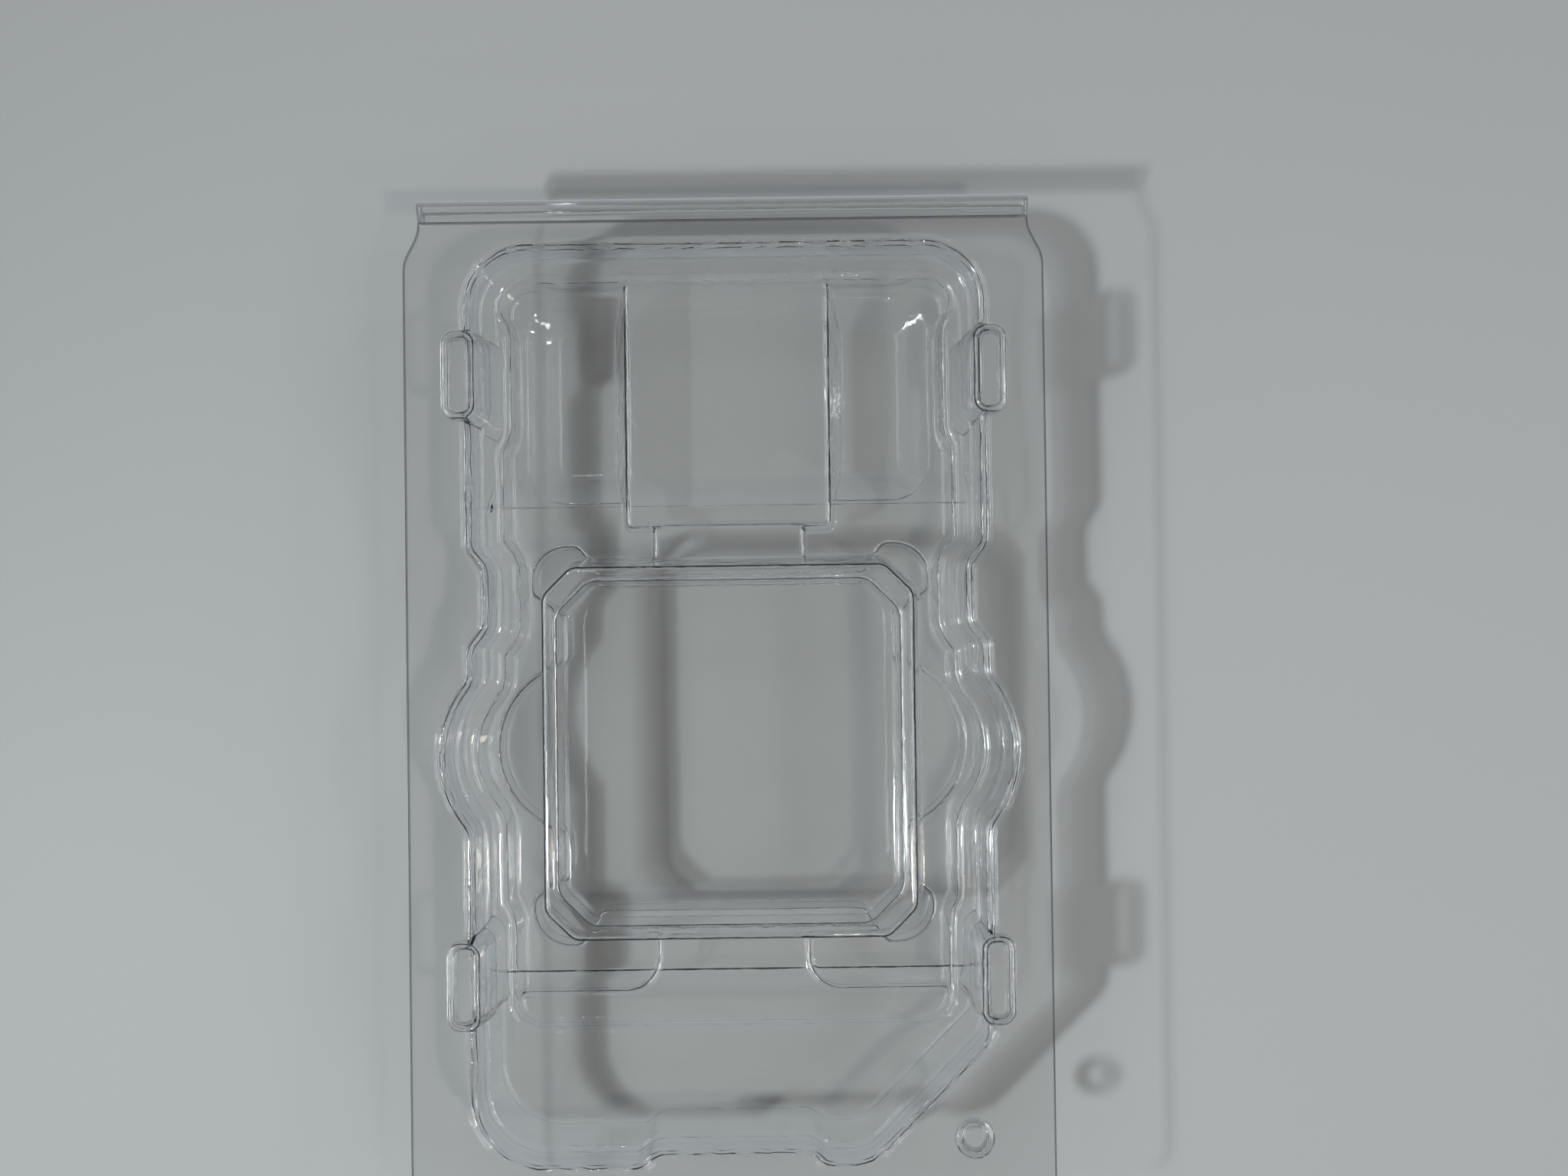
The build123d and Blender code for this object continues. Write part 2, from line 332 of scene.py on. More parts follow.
def jog_corners(y):
    """Inward jog of the moat's right wall beside one pill."""
    tip = PILL_LENGTH / 2 + JOG_OVERRUN
    return [
        (WELL_HALF, y - tip - JOG_RUN, JOG_ROUNDING),
        (JOG_LINE, y - tip, JOG_ROUNDING),
        (JOG_LINE, y + tip, JOG_ROUNDING),
        (WELL_HALF, y + tip + JOG_RUN, JOG_ROUNDING),
    ]


def legs(place):
    """Directions of the legs before and after each corner, and the sine of the turn between them."""
    before = unit(place - np.roll(place, 1, 0))
    after = unit(np.roll(place, -1, 0) - place)
    return before, after, before[:, 0] * after[:, 1] - before[:, 1] * after[:, 0]


def moved(corners, amount):
    """Corners of an outline moved outwards by an amount along both legs' normals, with parallel arcs."""
    table = np.array(corners, float)
    place = table[:, :2]
    before, after, turn = legs(place)
    out_before = before[:, ::-1] * (1, -1)
    out_after = after[:, ::-1] * (1, -1)
    share = amount / (1 + (out_before * out_after).sum(1, keepdims=True))
    rounding = np.maximum(table[:, 2] + np.where(turn > 0, amount, -amount), LEAST_ROUNDING)
    return np.column_stack((place + (out_before + out_after) * share, rounding))


def shelf_inset():
    """How far the lid's deep middle lies inside the well."""
    return NEST_GAP + run(SHELF_DEPTH, DRAFT) + SHELF_WIDTH


def moat_corners():
    """Plan of the lid's deep middle: the well's walls moved in, jogged at the pills, with a straight end."""
    low_pill, high_pill = PILL_YS
    inset = shelf_inset()
    right = [
        (JOG_LINE, MOAT_END - inset, MOAT_CORNER),
        *jog_corners(low_pill)[2:],
        *side_corners(),
        *jog_corners(high_pill),
        (WELL_HALF, WELL_TOP, MOAT_CORNER),
    ]
    return moved(right + mirrored(right), -inset)


def side_pocket_corners():
    """Plan of the deep pockets at both sides of the bridge, as one rectangle that the bridge crosses."""
    depth = PARTING_HEIGHT + FLANGE_GAP - SHELF_DEPTH - MOAT_FLOOR
    inset = shelf_inset() + run(depth, MOAT_SLOPE) + SIDE_POCKET_INSET
    half = JOG_LINE - inset
    end = SEAT_TOP - run(MOAT_FLOOR - SHEET, STEP_SLOPE) + SIDE_POCKET_GAP
    return block_corners(half, end, WELL_TOP - inset, SIDE_POCKET_CORNER)


def window_corners(half_width):
    """Square with cut corners round the chip."""
    straight = half_width - WINDOW_CORNER
    right = [
        (straight, CHIP_Y - half_width, WINDOW_ROUNDING),
        (half_width, CHIP_Y - straight, WINDOW_ROUNDING),
        (half_width, CHIP_Y + straight, WINDOW_ROUNDING),
        (straight, CHIP_Y + half_width, WINDOW_ROUNDING),
    ]
    return right + mirrored(right)


def pocket_corners():
    """Chip pocket: a square with a round ear at each corner and a finger scoop at each side."""
    low = CHIP_Y - CHIP_HALF
    high = CHIP_Y + CHIP_HALF
    ear = CHIP_HALF + EAR_REACH
    right = [
        (CHIP_HALF - EAR_LENGTH, low, EAR_ROUNDING),
        (CHIP_HALF - EAR_INSET, low - EAR_REACH, EAR_ROUNDING),
        (ear, low - EAR_REACH, EAR_RADIUS),
        (ear, low + EAR_INSET, EAR_ROUNDING),
        (CHIP_HALF, low + EAR_LENGTH, EAR_ROUNDING),
        *lobe_corners(CHIP_HALF, BULGE_Y, SCOOP_REACH, SCOOP_RADIUS, SCOOP_SPREAD, SCOOP_ROUNDING),
        (CHIP_HALF, high - EAR_LENGTH, EAR_ROUNDING),
        (ear, high - EAR_INSET, EAR_ROUNDING),
        (ear, high + EAR_REACH, EAR_RADIUS),
        (CHIP_HALF - EAR_INSET, high + EAR_REACH, EAR_ROUNDING),
        (CHIP_HALF - EAR_LENGTH, high, EAR_ROUNDING),
    ]
    return right + mirrored(right)


def tab_corners():
    """Low tab under the window frame, which sweeps out into a ledge along the moat's straight end."""
    right = [
        (LEDGE_HALF, MOAT_END - TAB_OVERLAP, TAB_ROUNDING),
        (LEDGE_HALF, LEDGE_TOP, TAB_ROUNDING),
        (TAB_HALF, LEDGE_TOP, LEDGE_SWEEP),
        (TAB_HALF, BRIDGE_END + 2 * TAB_OVERLAP, TAB_ROUNDING),
    ]
    return right + mirrored(right)


def pill_corners(x, y):
    """Plan of one pill snap."""
    half_width = PILL_WIDTH / 2
    half_length = PILL_LENGTH / 2
    rounding = half_width - PILL_FLAT / 2
    return [
        (x + half_width, y - half_length, rounding),
        (x + half_width, y + half_length, rounding),
        (x - half_width, y + half_length, rounding),
        (x - half_width, y - half_length, rounding),
    ]


def flange_corners():
    """Plan of one flange: straight sides that flare in to the narrower hinge."""
    flare_y = PACK_LENGTH / 2 - FLARE_START
    right = [
        (PACK_WIDTH / 2, -PACK_LENGTH / 2, FLANGE_CORNER),
        (PACK_WIDTH / 2, flare_y, FLARE_ROUNDING),
        (HINGE_WIDTH / 2, flare_y + FLARE_LENGTH, FLARE_ROUNDING),
        (HINGE_WIDTH / 2, PACK_LENGTH / 2 - HINGE_FILM, SQUARE_CORNER),
    ]
    return right + mirrored(right)


class Outline:
    """Closed anticlockwise outline with rounded corners.

    At each corner an arc of its rounding runs tangent to both legs: its points are the arc's centre minus
    the left-hand normal times the rounding, with the heading turning evenly from one leg to the next. The
    path has points evenly along the sum of the run in run_steps and the turn in turn_steps.
    """

    def __init__(self, corners, run_step, turn_step):
        table = np.array(corners, float)
        place = table[:, :2]
        rounding = table[:, 2]
        before, after, turn = legs(place)
        turn = np.arctan2(turn, (before * after).sum(1))
        start = place - before * (rounding * np.tan(np.abs(turn) / 2))[:, None]
        left = before[:, ::-1] * (-1, 1)
        bend = np.sign(turn) * rounding
        heading = np.arctan2(before[:, 1], before[:, 0])[:, None]
        heading = heading + turn[:, None] * np.linspace(0, 1, ARC_STEPS + 1)
        normals = np.stack((-np.sin(heading), np.cos(heading)), -1)
        centre = start + left * bend[:, None]
        self.line = (centre[:, None] - normals * bend[:, None, None]).reshape(-1, 2)
        normals = normals.reshape(-1, 2)
        length = np.linalg.norm(np.roll(self.line, -1, 0) - self.line, axis=1)
        turned = np.zeros(heading.shape)
        turned[:, :-1] = np.abs(turn)[:, None] / ARC_STEPS
        weight = length / run_step + turned.ravel() / turn_step
        reach = np.concatenate(([0], np.cumsum(weight)))
        marks = np.linspace(0, reach[-1], math.ceil(reach[-1]), endpoint=False)
        self.path = along(marks, reach, self.line)
        self.inward = unit(along(marks, reach, normals))

    def inside(self, x, y):
        """Distance from the outline, positive inside: that of the nearest short segment of the line, signed
        by whether a level ray from the point crosses the line an odd number of times."""
        first = self.line
        leg = np.roll(first, -1, 0) - first
        size = np.maximum((leg**2).sum(1), TINY)
        rise = np.where(np.abs(leg[:, 1]) < TINY, TINY, leg[:, 1])
        result = np.empty(x.size)
        for block in np.array_split(np.arange(x.size), x.size // BLOCK + 1):
            dx = x[block, None] - first[:, 0]
            dy = y[block, None] - first[:, 1]
            share = np.clip((dx * leg[:, 0] + dy * leg[:, 1]) / size, 0, 1)
            gap = np.sqrt(((dx - share * leg[:, 0]) ** 2 + (dy - share * leg[:, 1]) ** 2).min(1))
            crossed = ((dy < 0) != (dy < leg[:, 1])) & (dx < dy * leg[:, 0] / rise)
            result[block] = np.where(crossed.sum(1) % 2 == 1, gap, -gap)
        return result

    def lines(self, offsets):
        """Lines parallel to the path at distances inwards, which may differ from point to point."""
        return self.path[:, None] + self.inward[:, None] * np.broadcast_to(
            offsets, (len(self.path), np.shape(offsets)[-1])
        )[..., None]


def along(marks, reach, values):
    """Values of a closed line at marks of its running weight."""
    closed = np.vstack((values, values[:1]))
    return np.column_stack([np.interp(marks, reach, closed[:, axis]) for axis in (0, 1)])


def fitted(depth, brow, foot):
    """Brow and foot radii cut down together where a wall is too low for both."""
    share = np.minimum(1, FOLD_LIMIT * depth / (brow + foot))
    return brow * share, foot * share


def fall(reach, depth, slope, brow, foot):
    """Height of a wall's profile below its upper edge, at a distance out from that edge.

    Level, then an arc of radius brow, then a straight wall leaning by the slope, then an arc of radius foot,
    then level again at the depth. Each arc is tangent to what it joins.
    """
    lean = math.radians(slope)
    brow, foot = fitted(depth, brow, foot)
    brow_run = ease(brow, slope)
    foot_run = ease(foot, slope)
    toe = depth * math.tan(lean)
    over = np.sqrt(np.maximum(brow**2 - (reach + brow_run) ** 2, 0)) - brow
    under = foot - depth - np.sqrt(np.maximum(foot**2 - (reach - toe - foot_run) ** 2, 0))
    height = np.where(reach < brow_run * math.sin(lean), over, -reach / math.tan(lean))
    height = np.where(reach < -brow_run, 0, height)
    height = np.where(reach > toe - foot_run * math.sin(lean), under, height)
    return np.where(reach > toe + foot_run, -depth, height)


def raised(base, top, reach, slope, brow, foot):
    """A block standing on a base: its top inside its upper edge, and its wall falling to the base outside."""
    depth = np.maximum(top - base, LEAST_DEPTH)
    return np.maximum(base, top + fall(reach, depth, slope, brow, foot))


def stations(depth, slope, brow, foot, steps):
    """Distances from a wall's upper edge that divide both arcs of its profile into even turns."""
    depth = np.asarray(depth, float)[..., None]
    brow, foot = fitted(depth, brow, foot)
    turn = np.linspace(0, math.radians(90 - slope), steps + 1)
    upper = brow * np.sin(turn) - ease(brow, slope)
    lower = depth * math.tan(math.radians(slope)) + ease(foot, slope) - foot * np.sin(turn[::-1])
    return np.concatenate(np.broadcast_arrays(upper, lower), -1)


def sway(x, y, length):
    """Slow waves of about a length, between -1 and 1: three crossed sines of unlike direction."""
    turn = 2 * math.pi / length
    sines = [np.sin(turn * (across * x + onward * y) + phase) for across, onward, phase in CROSSED_SINES]
    return sum(sines) / len(sines)


def mark_cut(mesh, cut):
    """Gives a mesh the attribute cut, which is 1 at the points along a cut edge: the mask of the dark shade
    line that the material paints there.
    """
    mesh.attributes.new("cut", "FLOAT", "POINT").data.foreach_set("value", cut.astype(np.float32))


class Sheet:
    """One half of the pack: its outlines, the height of its sheet's middle, and the plan of its mesh."""

    def __init__(self, settings):
        self.settings = settings
        self.half = SHEET / 2
        self.points = []
        self.edges = []
        self.count = 0
        self.flange = self.outline(flange_corners())
        self.well = self.outline(well_corners())
        self.pills = [self.outline(pill_corners(side * PILL_X, y)) for side in (-1, 1) for y in PILL_YS]

    def outline(self, corners):
        """Outline with the fineness that the settings ask for."""
        return Outline(corners, self.settings.run_step / MM, self.settings.turn_step)

    def add_points(self, places):
        """Adds points to the plan."""
        self.points.append(places)
        self.count += len(places)

    def add_lines(self, grid, closed):
        """Adds a grid of points to the plan, with an edge from each point to the next on its line."""
        index = self.count + np.arange(grid.shape[0] * grid.shape[1]).reshape(grid.shape[:2])
        pairs = np.stack((index, np.roll(index, -1, 0)), -1)
        self.edges.append((pairs if closed else pairs[:-1]).reshape(-1, 2))
        self.add_points(grid.reshape(-1, 2))

    def beside(self, outline, reach, ground):
        """Height of a ground along an outline, read at a distance inside it."""
        near = outline.lines([reach])[:, 0]
        return ground(near[:, 0], near[:, 1])

    def draw(self, outline, offsets):
        """Adds closed lines along an outline to the plan."""
        self.add_lines(outline.lines(offsets), True)

    def draw_inward(self, outline, start, depth, slope, brow, foot):
        """Adds the lines of a wall that falls inwards from an upper edge a distance inside an outline."""
        self.draw(outline, start + stations(depth, slope, brow, foot, self.settings.fold_steps))

    def draw_outward(self, outline, start, depth, slope, brow, foot):
        """Adds the lines of a wall that falls outwards from an upper edge a distance inside an outline."""
        self.draw(outline, start - stations(depth, slope, brow, foot, self.settings.fold_steps))

    def draw_across(self, levels, half_width):
        """Adds straight lines across the pack at places along it."""
        across = np.linspace(-half_width, half_width, RAMP_POINTS)
        self.add_lines(np.stack(np.meshgrid(across, levels, indexing="ij"), -1), False)

    def draw_snaps(self, growth):
        """Adds the lines of the columns under the pills, down to what each stands on, and of the stud."""
        brow = SNAP_FOLD + self.half
        for pill in self.pills:
            depth = self.top + PILL_HEIGHT - self.beside(pill, -COLUMN_CLEAR, self.formed)
            self.draw_outward(pill, run(PILL_HEIGHT, SNAP_SLOPE) - growth, depth, SNAP_SLOPE, brow, SNAP_FOOT)
        top = STUD_RADIUS + growth - run(STUD_HEIGHT, SNAP_SLOPE)
        radii = top + stations(STUD_HEIGHT, SNAP_SLOPE, brow, SNAP_FOOT, self.settings.fold_steps)
        angle = np.linspace(0, 2 * math.pi, STUD_POINTS, endpoint=False)[:, None]
        grid = np.stack((STUD_PLACE[0] + radii * np.cos(angle), STUD_PLACE[1] + radii * np.sin(angle)), -1)
        self.add_points(grid.reshape(-1, 2))

    def snaps(self, x, y, growth):
        """Height of the formed sheet with the columns under the pills and the stud raised from it."""
        brow = SNAP_FOLD + self.half
        height = self.formed(x, y)
        for pill in self.pills:
            reach = run(PILL_HEIGHT, SNAP_SLOPE) - growth - pill.inside(x, y)
            column = raised(height, self.top + PILL_HEIGHT, reach, SNAP_SLOPE, brow, SNAP_FOOT)
            height = np.where(reach < COLUMN_CLEAR + NEAR, column, height)
        away = np.hypot(x - STUD_PLACE[0], y - STUD_PLACE[1])
        reach = away - STUD_RADIUS - growth + run(STUD_HEIGHT, SNAP_SLOPE)
        stud = raised(height, self.top + STUD_HEIGHT, reach, SNAP_SLOPE, brow, SNAP_FOOT)
        return np.where(reach < NEAR, stud, height) + self.settings.wave / MM * sway(x, y, WAVE_LENGTH)

    def scatter(self, pitch):
        """Adds points on an even grid, so that the level floors can follow slow waves."""
        across = np.arange(-PACK_WIDTH / 2 + pitch, PACK_WIDTH / 2, pitch)
        lengthwise = np.arange(-PACK_LENGTH / 2 + pitch, PACK_LENGTH / 2 - HINGE_FILM, pitch)
        grid = np.stack(np.meshgrid(across, lengthwise), -1).reshape(-1, 2)
        self.add_points(grid[self.flange.inside(grid[:, 0], grid[:, 1]) > pitch / 3])

    def mesh(self, name):
        """Mesh of the sheet: the plan's triangles lifted to their height, moved half a sheet along their
        normals to both sides, and joined along the border. The attribute cut is 1 on that border, where the
        material paints a dark shade line."""
        verts, _, faces, *_ = delaunay_2d_cdt(
            np.concatenate(self.points).tolist(), np.concatenate(self.edges).tolist(), [], 0, MERGE
        )
        plan = np.array([tuple(place) for place in verts])
        corners = np.array(faces)
        middle = plan[corners].mean(1)
        corners = corners[self.flange.inside(middle[:, 0], middle[:, 1]) > 0]
        used, corners = np.unique(corners, return_inverse=True)
        corners = corners.reshape(-1, 3)
        plan = plan[used]
        centre = np.column_stack((plan, self.height(plan[:, 0], plan[:, 1])))
        first, second, third = centre[corners].transpose(1, 0, 2)
        facing = np.cross(second - first, third - first)
        normals = np.zeros_like(centre)
        for corner in range(3):
            np.add.at(normals, corners[:, corner], facing)
        normals = unit(normals)
        size = len(centre)
        places = np.concatenate((centre + normals * self.half, centre - normals * self.half)) * MM
        sides = np.concatenate((corners[:, [0, 1]], corners[:, [1, 2]], corners[:, [2, 0]]))
        code = np.sort(sides, 1) @ (size, 1)
        _, place, times = np.unique(code, return_index=True, return_counts=True)
        border = sides[place[times == 1]]
        rim = np.column_stack((border[:, 1], border[:, 0], border[:, 0] + size, border[:, 1] + size))
        mesh = bpy.data.meshes.new(name)
        mesh.from_pydata(places, [], corners.tolist() + (corners[:, ::-1] + size).tolist() + rim.tolist())
        mesh.polygons.foreach_set("use_smooth", np.ones(len(mesh.polygons), bool))
        away = plan[border[:, 1]] - plan[border[:, 0]]
        outward = np.column_stack((unit(away[:, ::-1] * (1, -1)), np.zeros(len(border))))
        shading = np.concatenate(
            (
                normals[corners].reshape(-1, 3),
                -normals[corners[:, ::-1]].reshape(-1, 3),
                np.repeat(outward, 4, 0),
            )
        )
        mesh.normals_split_custom_set(shading)
        # Mask of the painted shade line along the cut border
        mark_cut(mesh, np.tile(self.flange.inside(plan[:, 0], plan[:, 1]) < CUT_WIDTH / 2, 2))
        return mesh


class TraySheet(Sheet):
    """The tray: flange, well, chip seat with its pocket, and snaps."""

    def __init__(self, settings):
        super().__init__(settings)
        self.pocket = self.outline(pocket_corners())
        self.top = PARTING_HEIGHT - self.half
        self.floor = self.half
        self.seat = SEAT_HEIGHT - self.half
        rise = self.seat - self.floor
        self.seat_ends = (
            SEAT_BOTTOM + ease(self.half, STEP_SLOPE) + run(rise, STEP_SLOPE),
            SEAT_TOP - ease(self.half, STEP_SLOPE) - run(rise, STEP_SLOPE),
        )
        self.draw(self.flange, [0.0, CUT_WIDTH])
        depth = self.top - self.beside(self.well, WELL_PROBE, self.ground)
        start = -ease(self.half, DRAFT)
        self.draw_inward(self.well, start, depth, DRAFT, RIM_FOLD + self.half, FOOT_FOLD + self.half)
        self.draw_inward(self.pocket, start, rise, DRAFT, SOFT_FOLD, SEAT_FOLD + self.half)
        steps = stations(rise, STEP_SLOPE, SEAT_FOLD + self.half, SOFT_FOLD, settings.fold_steps)
        low, high = self.seat_ends
        self.draw_across(np.concatenate((low - steps, high + steps)), WELL_HALF - RAMP_INSET)
        self.draw_snaps(-ease(self.half, SNAP_SLOPE))
        self.scatter(settings.flat_step / MM)

    def ground(self, x, y):
        """Height of the tray's floor with the chip seat raised from it and the chip pocket sunk into that."""
        low, high = self.seat_ends
        reach = np.maximum(low - y, y - high)
        floor = np.full(x.shape, self.floor)
        seat = raised(floor, self.seat, reach, STEP_SLOPE, SEAT_FOLD + self.half, SOFT_FOLD)
        inside = self.pocket.inside(x, y) + ease(self.half, DRAFT)
        depth = self.seat - self.floor
        return np.minimum(seat, self.seat + fall(inside, depth, DRAFT, SOFT_FOLD, SEAT_FOLD + self.half))

    def formed(self, x, y):
        """Height of the tray without its snaps: the flange, falling to the ground inside the well."""
        ripple = self.settings.ripple / MM * sway(x, y, RIPPLE_LENGTH)
        inside = self.well.inside(x, y) + ease(self.half, DRAFT) + ripple
        depth = self.top - self.ground(x, y)
        return self.top + fall(inside, depth, DRAFT, RIM_FOLD + self.half, FOOT_FOLD + self.half)

    def height(self, x, y):
        """Height of the tray with its snaps, each one sheet's half inside the tray's upper face."""
        return self.snaps(x, y, -ease(self.half, SNAP_SLOPE))


class LidSheet(Sheet):
    """The lid: flange, shelf, moat, side pockets, bridge, tab, window frame and snaps."""

    def __init__(self, settings):
        super().__init__(settings)
        self.top = PARTING_HEIGHT + FLANGE_GAP + self.half
        self.shelf = self.top - SHELF_DEPTH
        self.floor = MOAT_FLOOR + self.half
        self.rim = NEST_GAP + ease(self.half, DRAFT)
        self.frame_rise = FRAME_HEIGHT - MOAT_FLOOR
        self.moat = self.outline(moat_corners())
        self.side_pockets = self.outline(side_pocket_corners())
        self.bridge = self.outline(block_corners(BRIDGE_HALF, BRIDGE_END, WELL_TOP, BRIDGE_CORNER))
        self.tab = self.outline(tab_corners())
        half = WINDOW_HALF + FRAME_BAND + run(self.frame_rise, FRAME_SLOPE)
        self.frame = self.outline(window_corners(half))
        self.window = self.outline(window_corners(WINDOW_HALF))
        self.fold_in = FOOT_FOLD + self.half
        self.fold_out = LID_FOLD + self.half
        self.plan_lines()

    def edge(self, rise, slope):
        """How far the upper edge of a raised block's middle lies inside the outline of its foot."""
        return run(rise, slope) - ease(self.half, slope)

    def plan_lines(self):
        """Draws the lines of every wall, each with the depth that the floor at its foot gives it."""
        self.draw(self.flange, [0.0, CUT_WIDTH])
        self.draw_inward(self.well, self.rim, SHELF_DEPTH, DRAFT, RIM_FOLD + self.half, self.fold_in)
        depth = self.shelf - self.beside(self.moat, MOAT_PROBE, self.ground)
        self.draw_inward(self.moat, ease(self.half, MOAT_SLOPE), depth, MOAT_SLOPE, MOAT_FOLD, self.fold_in)
        depth = MOAT_FLOOR - SIDE_POCKET_FLOOR
        start = ease(self.half, STEP_SLOPE)
        self.draw_inward(self.side_pockets, start, depth, STEP_SLOPE, SOFT_FOLD, self.fold_in)
        rise = BRIDGE_HEIGHT - SIDE_POCKET_FLOOR
        depth = BRIDGE_HEIGHT + self.half - self.beside(self.bridge, -FOOT_PROBE, self.dug)
        depth = np.maximum(depth, LEAST_BRIDGE)
        self.draw_outward(
            self.bridge, self.edge(rise, BRIDGE_SLOPE), depth, BRIDGE_SLOPE, BRIDGE_FOLD, SOFT_FOLD
        )
        rise = TAB_HEIGHT - MOAT_FLOOR
        self.draw_outward(self.tab, self.edge(rise, MOAT_SLOPE), rise, MOAT_SLOPE, self.fold_out, SOFT_FOLD)
        depth = FRAME_HEIGHT + self.half - self.beside(self.frame, -FOOT_PROBE, self.ground)
        self.draw_outward(
            self.frame, self.edge(self.frame_rise, FRAME_SLOPE), depth, FRAME_SLOPE, self.fold_out, SOFT_FOLD
        )
        depth = FRAME_HEIGHT - WINDOW_FLOOR
        self.draw_inward(self.window, ease(self.half, DRAFT), depth, DRAFT, self.fold_out, self.fold_in)
        self.draw_snaps(SNAP_GAP + ease(self.half, SNAP_SLOPE))
        self.scatter(self.settings.flat_step / MM)

    def dug(self, x, y):
        """Height of the moat's floor with the side pockets sunk into it."""
        inside = self.side_pockets.inside(x, y) - ease(self.half, STEP_SLOPE)
        depth = MOAT_FLOOR - SIDE_POCKET_FLOOR
        return self.floor + fall(inside, depth, STEP_SLOPE, SOFT_FOLD, self.fold_in)

    def ground(self, x, y):
        """Height of the moat's floor with the bridge and the tab raised from it."""
        height = self.dug(x, y)
        rise = BRIDGE_HEIGHT - SIDE_POCKET_FLOOR
        reach = self.edge(rise, BRIDGE_SLOPE) - self.bridge.inside(x, y)
        height = raised(height, BRIDGE_HEIGHT + self.half, reach, BRIDGE_SLOPE, BRIDGE_FOLD, SOFT_FOLD)
        reach = self.edge(TAB_HEIGHT - MOAT_FLOOR, MOAT_SLOPE) - self.tab.inside(x, y)
        return raised(height, TAB_HEIGHT + self.half, reach, MOAT_SLOPE, self.fold_out, SOFT_FOLD)

    def formed(self, x, y):
        """Height of the lid without its snaps: the flange falls to the shelf, the shelf to the moat's floor,
        and the window's frame stands on that with the window sunk into it."""
        ripple = self.settings.ripple / MM * sway(x, y, RIPPLE_LENGTH)
        inside = self.moat.inside(x, y) - ease(self.half, MOAT_SLOPE) + ripple
        deep = fall(inside, self.shelf - self.ground(x, y), MOAT_SLOPE, MOAT_FOLD, self.fold_in)
        inside = self.well.inside(x, y) - self.rim + ripple
        height = self.top + fall(inside, SHELF_DEPTH, DRAFT, RIM_FOLD + self.half, self.fold_in) + deep
        reach = self.edge(self.frame_rise, FRAME_SLOPE) - self.frame.inside(x, y)
        top = FRAME_HEIGHT + self.half
        height = np.where(
            reach < FRAME_CLEAR, raised(height, top, reach, FRAME_SLOPE, self.fold_out, SOFT_FOLD), height
        )
        inside = self.window.inside(x, y) - ease(self.half, DRAFT)
        sunk = top + fall(inside, FRAME_HEIGHT - WINDOW_FLOOR, DRAFT, self.fold_out, self.fold_in)
        return np.where(inside > -NEAR, np.minimum(height, sunk), height)

    def height(self, x, y):
        """Height of the lid with its snaps, which clear the tray's by the snap gap."""
        return self.snaps(x, y, SNAP_GAP + ease(self.half, SNAP_SLOPE))


def hinge_mesh(settings):
    """Film of the living hinge: the line from the tray's flange round the bead to the lid's flange, moved
    half a sheet to both sides of itself, and carried across the pack on a grid of line by width."""
    half = SHEET / 2
    end = PACK_LENGTH / 2 - HINGE_FILM
    bead_y = PACK_LENGTH / 2 - BEAD_RADIUS
    bead_z = PARTING_HEIGHT + FLANGE_GAP / 2
    radius = BEAD_RADIUS - half
    bend = end + FILM_LEAD
    drop = FLANGE_GAP / 2 + half
    contact = math.acos(radius / math.hypot(bead_y - bend, drop)) + math.atan2(drop, bead_y - bend)
    angle = np.linspace(contact - math.pi, math.pi - contact, BEAD_STEPS * settings.fold_steps)
    bead = np.column_stack((bead_y + radius * np.cos(angle), bead_z + radius * np.sin(angle)))
    start = [(end, bead_z - drop), (bend, bead_z - drop)]
    finish = [(bend, bead_z + drop), (end + FILM_GAP, bead_z + drop)]
    line = np.concatenate((start, bead, finish))
    ahead = unit(np.gradient(line, axis=0))
    side = ahead[:, ::-1] * (-1, 1)
    ring = np.concatenate((line + side * half, (line - side * half)[::-1]))
    inner = HINGE_WIDTH / 2 - CUT_WIDTH
    across = np.concatenate(([-HINGE_WIDTH / 2], np.linspace(-inner, inner, FILM_POINTS), [HINGE_WIDTH / 2]))
    grid = np.empty((across.size, len(ring), 3))
    grid[..., 0] = across[:, None]
    grid[..., 1:] = ring
    index = np.arange(across.size * len(ring)).reshape(grid.shape[:2])
    onward = np.roll(index, -1, 1)
    quads = np.stack((index[:-1], onward[:-1], onward[1:], index[1:]), -1).reshape(-1, 4)
    count = len(line)
    low = np.arange(count - 1)
    strip = np.column_stack((low, low + 1, 2 * count - 2 - low, 2 * count - 1 - low))
    caps = np.concatenate((strip[:, ::-1], strip + index[-1, 0]))
    mesh = bpy.data.meshes.new("hinge_film")
    mesh.from_pydata(grid.reshape(-1, 3) * MM, [], np.concatenate((quads, caps)).tolist())
    mesh.polygons.foreach_set("use_smooth", np.ones(len(mesh.polygons), bool))
    mesh.set_sharp_from_angle(angle=math.radians(SHARP_TURN))
    # Painted shade: the dark line is painted along the film's side edges and along the top line of the bead,
    # which is no cut edge
    cut = (np.abs(grid[..., 0]) > inner + CUT_WIDTH / 2) | (grid[..., 1] > PACK_LENGTH / 2 - BEAD_LINE)
    mark_cut(mesh, cut.ravel())
    return mesh


